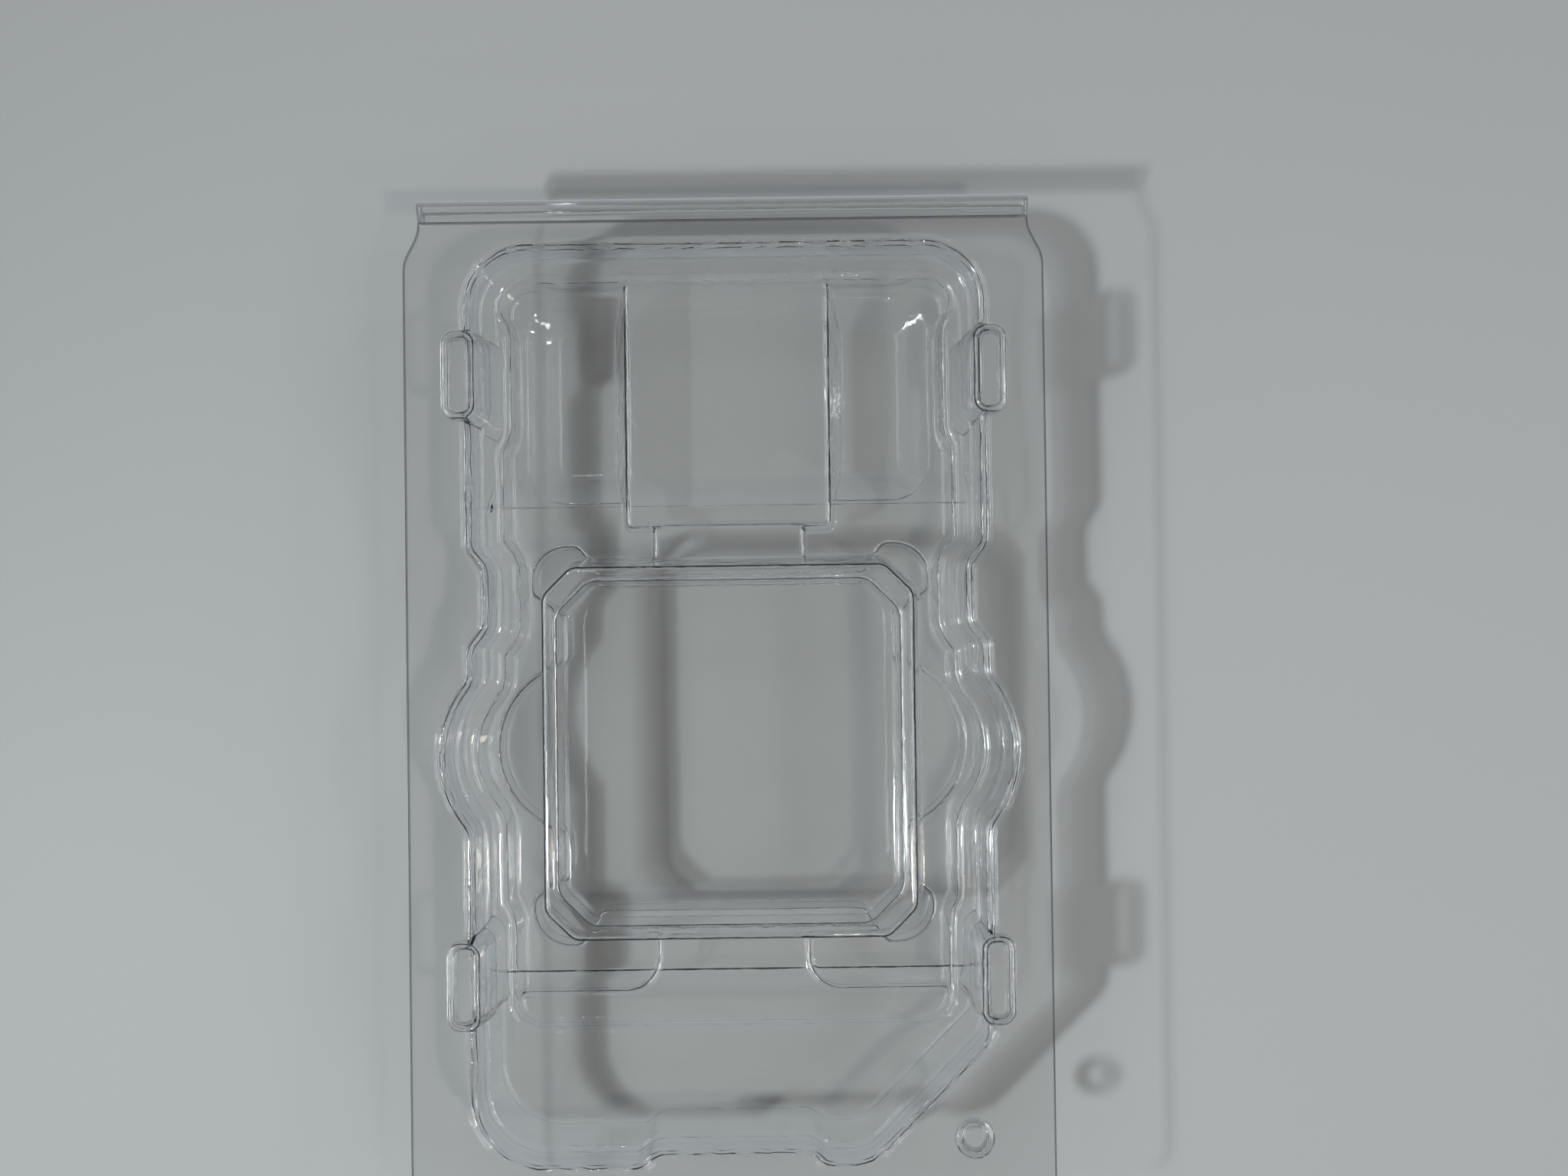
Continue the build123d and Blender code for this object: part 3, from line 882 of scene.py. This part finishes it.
class Wire:
    """A socket of a node tree. Sums and products of it add Math nodes, and node() adds any other node."""

    def __init__(self, tree, socket=None):
        self.tree = tree
        self.socket = socket

    def node(self, kind, settings=None, inputs=None, output=0):
        """Adds a node, sets its settings, fills or links its inputs, and gives one of its outputs."""
        made = self.tree.nodes.new(kind)
        for key, value in (settings or {}).items():
            setattr(made, key, value)
        for key, value in (inputs or {}).items():
            if isinstance(value, Wire):
                self.tree.links.new(value.socket, made.inputs[key])
            else:
                made.inputs[key].default_value = value
        return Wire(self.tree, made.outputs[output] if len(made.outputs) else None)

    def math(self, operation, *others):
        """Adds a Math node on this wire and on others or numbers."""
        return self.node("ShaderNodeMath", {"operation": operation}, dict(enumerate((self, *others))))

    def __add__(self, other):
        return self.math("ADD", other)

    __radd__ = __add__

    def __mul__(self, other):
        return self.math("MULTIPLY", other)

    __rmul__ = __mul__

    def __sub__(self, other):
        return self.math("SUBTRACT", other)

    def __rsub__(self, other):
        return self * -1.0 + other

    def __pow__(self, other):
        return self.math("POWER", other)


def blank_material(name):
    """New material with an empty node tree, and a wire to start from."""
    material = bpy.data.materials.new(name)
    material.use_nodes = True
    material.node_tree.nodes.clear()
    return material, Wire(material.node_tree)


def noise(wire, place, scale, detail, roughness):
    """Noise over a place, with a scale, a detail and a roughness."""
    values = {"Vector": place, "Scale": scale, "Detail": detail, "Roughness": roughness}
    return wire.node("ShaderNodeTexNoise", {}, values)


def mixed(wire, share, first, second):
    """Colour between two others, by a share of the second."""
    values = {"Factor": share, "A": first, "B": second}
    return wire.node("ShaderNodeMix", {"data_type": "RGBA"}, values, "Result")


def clear_sheet_material(name, finish, level):
    """Clear formed sheet: glass-like, with flow marks, crumpled slopes, handling haze, a dark shade line
    painted along the cut edge, and upright walls tinted a darker blue-grey that is partly the sheet's own
    tint and partly painted shade.

    flat is 1 on level sheet and 0 on upright walls, and lean is greatest on the slopes between them. The
    sheet's shadow is deeper on slopes and walls, and fainter low down, where the sheet was drawn thin.
    """
    material, wire = blank_material(name)
    place = wire.node("ShaderNodeTexCoord", output="Object")
    normal = wire.node("ShaderNodeTexCoord", output="Normal")
    flat = wire.node("ShaderNodeSeparateXYZ", {}, {"Vector": normal}, "Z").math("ABSOLUTE")
    lean = flat * (1.0 - flat) * 4.0
    flow = noise(wire, place, *FLOW_NOISE)
    crumple = noise(wire, place, *CRUMPLE_NOISE)
    haze = noise(wire, place, *HAZE_NOISE)
    relief = flow + crumple * lean * finish.crumple
    bump = wire.node(
        "ShaderNodeBump", {}, {"Strength": 1.0, "Distance": finish.flow_depth, "Height": relief}
    )
    roughness = haze ** HAZE_SHARPNESS * finish.haze + finish.gloss
    upright = (1.0 - flat) ** WALL_SHARPNESS
    # Upright walls are coloured a darker blue-grey: partly the sheet's own tint seen along its length, partly
    # painted shade of the walls
    colour = mixed(wire, upright, (*finish.tint, 1.0), (*finish.wall_tint_and_painted_shade, 1.0))
    # Painted shade: the colour turns dark along the cut edges, where the attribute cut is 1
    cut = wire.node("ShaderNodeAttribute", {"attribute_name": "cut"}, {}, "Fac")
    colour = mixed(wire, cut, colour, (*finish.cut_edge_painted_shade, 1.0))
    glass = wire.node(
        "ShaderNodeBsdfPrincipled",
        {},
        {
            "Base Color": colour,
            "Roughness": roughness,
            "IOR": PLASTIC_IOR,
            "Transmission Weight": 1.0,
            "Normal": bump,
        },
    )
    high = wire.node("ShaderNodeSeparateXYZ", {}, {"Vector": place}, "Z")
    thick = wire.node(
        "ShaderNodeMapRange",
        {"interpolation_type": "SMOOTHSTEP"},
        {
            "Value": high,
            "From Min": THIN_HEIGHT,
            "From Max": THICK_HEIGHT,
            "To Min": finish.low_share,
            "To Max": 1.0,
        },
    )
    shade = (lean ** FOLD_SHARPNESS * finish.fold_shade + (1.0 - flat) * finish.wall_shade) * thick
    clear = wire.node("ShaderNodeBsdfTransparent", {}, {"Color": (*level, 1.0)})
    dark = wire.node("ShaderNodeBsdfTransparent", {}, {"Color": (*finish.shade_fold, 1.0)})
    shadow = wire.node("ShaderNodeMixShader", {}, {0: shade, 1: clear, 2: dark})
    is_shadow = wire.node("ShaderNodeLightPath", output="Is Shadow Ray")
    both = wire.node("ShaderNodeMixShader", {}, {0: is_shadow, 1: glass, 2: shadow})
    wire.node("ShaderNodeOutputMaterial", {}, {"Surface": both})
    return material


def table_material(stage):
    """Pale painted table: an even grey with faint clouding and a soft sheen."""
    material, wire = blank_material("table_top")
    place = wire.node("ShaderNodeTexCoord", output="Object")
    deep = tuple(CLOUD_DEPTH * level for level in stage.table_colour)
    colour = mixed(wire, noise(wire, place, *CLOUD_NOISE), (*stage.table_colour, 1.0), (*deep, 1.0))
    paint = wire.node(
        "ShaderNodeBsdfPrincipled",
        {},
        {"Base Color": colour, "Roughness": TABLE_ROUGHNESS, "Specular IOR Level": TABLE_SHEEN},
    )
    wire.node("ShaderNodeOutputMaterial", {}, {"Surface": paint})
    return material


def place_piece(mesh, material):
    """Object at the origin with a mesh and its material."""
    mesh.materials.append(material)
    piece = bpy.data.objects.new(mesh.name, mesh)
    bpy.context.scene.collection.objects.link(piece)
    return piece


def bulb_places():
    """Places of the small lamps: evenly turned round the pack and evenly rising, all at one distance."""
    turn = np.radians(BULB_TURN * np.arange(BULB_COUNT))
    rise = np.radians(np.linspace(BULB_LOW, BULB_HIGH, BULB_COUNT))
    level = np.cos(rise)
    return BULB_DISTANCE * np.column_stack((level * np.cos(turn), level * np.sin(turn), np.sin(rise)))


class SheetSettings(bpy.types.PropertyGroup):
    """Sizes of the formed sheet that a user would change."""

    ripple: bpy.props.FloatProperty(
        name="Wall ripple", description="Height of the fine ripples along the formed walls",
        default=0.00005, min=0.0, max=0.0002, precision=6, unit="LENGTH",
    )
    wave: bpy.props.FloatProperty(
        name="Flat wave", description="Height of the slow waves over the level floors",
        default=0.00003, min=0.0, max=0.0002, precision=6, unit="LENGTH",
    )
    run_step: bpy.props.FloatProperty(
        name="Run step", description="Longest stretch of an outline between two points",
        default=0.0014, min=0.0005, max=0.01, precision=5, unit="LENGTH",
    )
    turn_step: bpy.props.FloatProperty(
        name="Turn step", description="Largest turn of an outline between two points",
        default=math.radians(7), min=math.radians(2), max=math.radians(30), subtype="ANGLE",
    )
    flat_step: bpy.props.FloatProperty(
        name="Flat step", description="Pitch of the points on the level floors",
        default=0.003, min=0.001, max=0.02, precision=5, unit="LENGTH",
    )
    fold_steps: bpy.props.IntProperty(
        name="Fold steps", description="Facets along each fold of a wall", default=5, min=2, max=12,
    )


class FinishSettings(bpy.types.PropertyGroup):
    """Look of the clear plastic."""

    tint: bpy.props.FloatVectorProperty(
        name="Tint", description="Colour of the level sheet", default=(0.985, 0.985, 0.98), subtype="COLOR",
        min=0.0, max=1.0,
    )
    # Upright walls take this darker blue-grey: partly the sheet's own tint along its length, partly painted
    # shade
    wall_tint_and_painted_shade: bpy.props.FloatVectorProperty(
        name="Wall tint", description="Colour of the upright sheet, which is looked through along its length",
        default=(0.94, 0.955, 0.98), subtype="COLOR", min=0.0, max=1.0,
    )
    # Painted shade: the dark line painted along the cut edges takes this colour
    cut_edge_painted_shade: bpy.props.FloatVectorProperty(
        name="Cut edge tint", description="Colour of the flange's cut edge", default=(0.35, 0.37, 0.40),
        subtype="COLOR", min=0.0, max=1.0,
    )
    gloss: bpy.props.FloatProperty(
        name="Gloss roughness", description="Roughness of the clean sheet", default=0.015, min=0.0, max=0.5,
    )
    haze: bpy.props.FloatProperty(
        name="Handling haze", description="Roughness added where the sheet is rubbed", default=0.12, min=0.0,
        max=1.0,
    )
    flow_depth: bpy.props.FloatProperty(
        name="Flow marks", description="Depth of the flow marks left by forming", default=0.00004, min=0.0,
        max=0.001, precision=6, unit="LENGTH",
    )
    crumple: bpy.props.FloatProperty(
        name="Slope crumple", description="Depth of the crumples on slopes, as a share of the flow marks",
        default=1.6, min=0.0,
    )
    shade_level: bpy.props.FloatVectorProperty(
        name="Level shadow", description="Light let through where the sheet faces the lamp",
        default=(0.99, 0.991, 0.992), subtype="COLOR", min=0.0, max=1.0,
    )
    shade_fold: bpy.props.FloatVectorProperty(
        name="Fold shadow", description="Light let through where the sheet is folded",
        default=(0.06, 0.06, 0.06), subtype="COLOR", min=0.0, max=1.0,
    )
    shade_film: bpy.props.FloatVectorProperty(
        name="Hinge shadow", description="Light let through by the folded hinge film",
        default=(0.72, 0.72, 0.73), subtype="COLOR", min=0.0, max=1.0,
    )
    low_share: bpy.props.FloatProperty(
        name="Low share", description="Share of its shadow that the sheet keeps where it was drawn thin",
        default=0.14, min=0.0, max=1.0,
    )
    fold_shade: bpy.props.FloatProperty(
        name="Fold share", description="Share of the fold shadow that a leaning fold casts", default=0.8,
        min=0.0,
    )
    wall_shade: bpy.props.FloatProperty(
        name="Wall share", description="Share of the fold shadow that an upright wall casts", default=0.44,
        min=0.0,
    )


class StageSettings(bpy.types.PropertyGroup):
    """Table, light and camera."""

    table_colour: bpy.props.FloatVectorProperty(
        name="Table colour", description="Paint of the table", default=(0.345, 0.36, 0.365), subtype="COLOR",
        min=0.0, max=1.0,
    )
    left_power: bpy.props.FloatProperty(
        name="Left lamp", description="Power of the cool lamp on the left", default=2.9, min=0.0,
        unit="POWER",
    )
    right_power: bpy.props.FloatProperty(
        name="Right lamp", description="Power of the warm lamp on the right", default=0.4, min=0.0,
        unit="POWER",
    )
    panel_power: bpy.props.FloatProperty(
        name="Side panels", description="Power of each broad panel beside the table", default=0.75, min=0.0,
        unit="POWER",
    )
    bulb_power: bpy.props.FloatProperty(
        name="Bulbs", description="Power of each small lamp that glints on the folds", default=0.06, min=0.0,
        unit="POWER",
    )
    lamp_size: bpy.props.FloatProperty(
        name="Lamp size", description="Width of the left and right lamps", default=0.03, min=0.001,
        unit="LENGTH",
    )
    sky: bpy.props.FloatVectorProperty(
        name="Light from above", description="Soft light of the room from straight above",
        default=(0.15, 0.155, 0.16), subtype="COLOR", min=0.0, max=4.0,
    )
    horizon: bpy.props.FloatVectorProperty(
        name="Light from the sides", description="Soft light of the room from the sides",
        default=(0.30, 0.32, 0.35), subtype="COLOR", min=0.0, max=4.0,
    )
    eye: bpy.props.FloatVectorProperty(
        name="Camera place", description="Where the camera stands", default=(0.00665, 0.0135, 0.150),
        subtype="TRANSLATION", unit="LENGTH",
    )
    lens: bpy.props.FloatProperty(
        name="Lens", description="Focal length on a 36 mm wide frame", default=27.04, min=5.0,
    )


class CLAMSHELL_OT_set_stage(bpy.types.Operator):
    """Set the table, the lamps, the room's light and the camera"""

    bl_idname = "clamshell.set_stage"
    bl_label = "Set the stage"

    def execute(self, context):
        stage = context.scene.clamshell_stage
        self.lay_table(context, stage)
        self.hang_lamps(context, stage)
        self.light_room(context, stage)
        self.set_camera(context, stage)
        return {"FINISHED"}

    def lay_table(self, context, stage):
        """Lays the table: a level grid just under the pack."""
        mesh = bpy.data.meshes.new("table_top")
        across = np.linspace(-TABLE_HALF, TABLE_HALF, TABLE_POINTS)
        grid = np.stack(np.meshgrid(across, across), -1).reshape(-1, 2)
        index = np.arange(across.size**2).reshape(across.size, across.size)
        quads = np.stack((index[:-1, :-1], index[:-1, 1:], index[1:, 1:], index[1:, :-1]), -1).reshape(-1, 4)
        mesh.from_pydata(np.column_stack((grid, np.full(len(grid), -TABLE_DROP))), [], quads.tolist())
        mesh.materials.append(table_material(stage))
        table = bpy.data.objects.new("table_top", mesh)
        context.scene.collection.objects.link(table)

    def hang_lamps(self, context, stage):
        """Hangs the two lamps, the side panels and the bulbs. The left lamp aims past the pack, so that the
        level of its light is even over the table."""
        small = (stage.lamp_size, stage.lamp_size)
        bulb = (BULB_SIZE, BULB_SIZE)
        lamps = [
            ("left_lamp", LEFT_PLACE, LEFT_AIM, stage.left_power, COOL, small),
            ("right_lamp", RIGHT_PLACE, PACK_MIDDLE, stage.right_power, WARM, small),
            ("left_panel", LEFT_PANEL, PACK_MIDDLE, stage.panel_power, WHITE, PANEL_SIZE),
            ("right_panel", RIGHT_PANEL, PACK_MIDDLE, stage.panel_power, WHITE, PANEL_SIZE),
        ]
        lamps += [
            (f"bulb_{number}", place, PACK_MIDDLE, stage.bulb_power, WHITE, bulb)
            for number, place in enumerate(bulb_places().tolist(), 1)
        ]
        for name, place, aim, power, colour, size in lamps:
            light = bpy.data.lights.new(name, "AREA")
            light.shape = "RECTANGLE"
            light.size, light.size_y = size
            light.energy = power
            light.color = colour
            lamp = bpy.data.objects.new(name, light)
            lamp.location = place
            lamp.rotation_euler = (Vector(aim) - Vector(place)).to_track_quat("-Z", "Y").to_euler()
            context.scene.collection.objects.link(lamp)

    def light_room(self, context, stage):
        """Lights the room: a soft level from the sides that fades towards the top."""
        world = bpy.data.worlds.new("room_light")
        context.scene.world = world
        world.use_nodes = True
        world.node_tree.nodes.clear()
        wire = Wire(world.node_tree)
        toward = wire.node("ShaderNodeTexCoord", output="Generated")
        up = wire.node("ShaderNodeSeparateXYZ", {}, {"Vector": toward}, "Z").math("MAXIMUM", 0.0)
        colour = mixed(wire, up, (*stage.horizon, 1.0), (*stage.sky, 1.0))
        light = wire.node("ShaderNodeBackground", {}, {"Color": colour, "Strength": 1.0})
        wire.node("ShaderNodeOutputWorld", {}, {"Surface": light})

    def set_camera(self, context, stage):
        """Sets the camera over the pack, and how many sheets its light may pass."""
        lens = bpy.data.cameras.new("photo_view")
        lens.lens = stage.lens
        lens.sensor_width = SENSOR_WIDTH
        lens.clip_start = NEAR_CLIP
        camera = bpy.data.objects.new("photo_view", lens)
        camera.location = stage.eye
        camera.rotation_euler = Euler((math.radians(CAMERA_TILT), 0.0, math.radians(CAMERA_ROLL)), "XYZ")
        context.scene.collection.objects.link(camera)
        context.scene.camera = camera
        context.scene.view_settings.view_transform = "Standard"
        cycles = context.scene.cycles
        cycles.max_bounces = CLEAR_BOUNCES
        cycles.transmission_bounces = CLEAR_BOUNCES
        cycles.transparent_max_bounces = SHADOW_BOUNCES
        cycles.glossy_bounces = GLOSS_BOUNCES
        cycles.caustics_refractive = False
        cycles.caustics_reflective = False


class CLAMSHELL_OT_form_tray(bpy.types.Operator):
    """Form the tray from clear sheet"""

    bl_idname = "clamshell.form_tray"
    bl_label = "Form the tray"

    def execute(self, context):
        finish = context.scene.clamshell_finish
        material = clear_sheet_material("tray_sheet", finish, finish.shade_level)
        mesh = TraySheet(context.scene.clamshell_sheet).mesh("tray_sheet")
        tray = place_piece(mesh, material)
        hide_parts("front_tray")
        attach(tray, "tray")
        return {"FINISHED"}


class CLAMSHELL_OT_form_lid(bpy.types.Operator):
    """Form the lid from clear sheet"""

    bl_idname = "clamshell.form_lid"
    bl_label = "Form the lid"

    def execute(self, context):
        finish = context.scene.clamshell_finish
        material = clear_sheet_material("lid_sheet", finish, finish.shade_level)
        mesh = LidSheet(context.scene.clamshell_sheet).mesh("lid_sheet")
        lid = place_piece(mesh, material)
        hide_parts("rear_lid")
        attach(lid, "lid")
        return {"FINISHED"}


class CLAMSHELL_OT_fold_hinge(bpy.types.Operator):
    """Fold the film that joins the lid to the tray"""

    bl_idname = "clamshell.fold_hinge"
    bl_label = "Fold the hinge film"

    def execute(self, context):
        finish = context.scene.clamshell_finish
        material = clear_sheet_material("hinge_film", finish, finish.shade_film)
        film = place_piece(hinge_mesh(context.scene.clamshell_sheet), material)
        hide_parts("living_hinge")
        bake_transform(film)
        return {"FINISHED"}


class CLAMSHELL_PT_pack(bpy.types.Panel):
    """Settings and steps of the clamshell pack"""

    bl_idname = "CLAMSHELL_PT_pack"
    bl_label = "Clear clamshell pack"
    bl_space_type = "VIEW_3D"
    bl_region_type = "UI"
    bl_category = "Clamshell"

    def draw(self, context):
        for group in (
            context.scene.clamshell_sheet, context.scene.clamshell_finish, context.scene.clamshell_stage
        ):
            box = self.layout.box()
            for name in group.__annotations__:
                box.prop(group, name)
        for step in STEPS:
            self.layout.operator(step.bl_idname)


STEPS = (CLAMSHELL_OT_set_stage, CLAMSHELL_OT_form_tray, CLAMSHELL_OT_form_lid, CLAMSHELL_OT_fold_hinge)
CLASSES = (SheetSettings, FinishSettings, StageSettings, *STEPS, CLAMSHELL_PT_pack)


def register():
    """Adds the classes and the settings of the scene."""
    for kind in CLASSES:
        bpy.utils.register_class(kind)
    bpy.types.Scene.clamshell_sheet = bpy.props.PointerProperty(type=SheetSettings)
    bpy.types.Scene.clamshell_finish = bpy.props.PointerProperty(type=FinishSettings)
    bpy.types.Scene.clamshell_stage = bpy.props.PointerProperty(type=StageSettings)


def unregister():
    """Takes the settings and the classes away again."""
    del bpy.types.Scene.clamshell_stage
    del bpy.types.Scene.clamshell_finish
    del bpy.types.Scene.clamshell_sheet
    for kind in reversed(CLASSES):
        bpy.utils.unregister_class(kind)


def main():
    """Builds the scene step by step."""
    register()
    bpy.ops.clamshell.set_stage()
    bpy.ops.clamshell.form_tray()
    bpy.ops.clamshell.form_lid()
    bpy.ops.clamshell.fold_hinge()


if __name__ == "__main__":
    main()
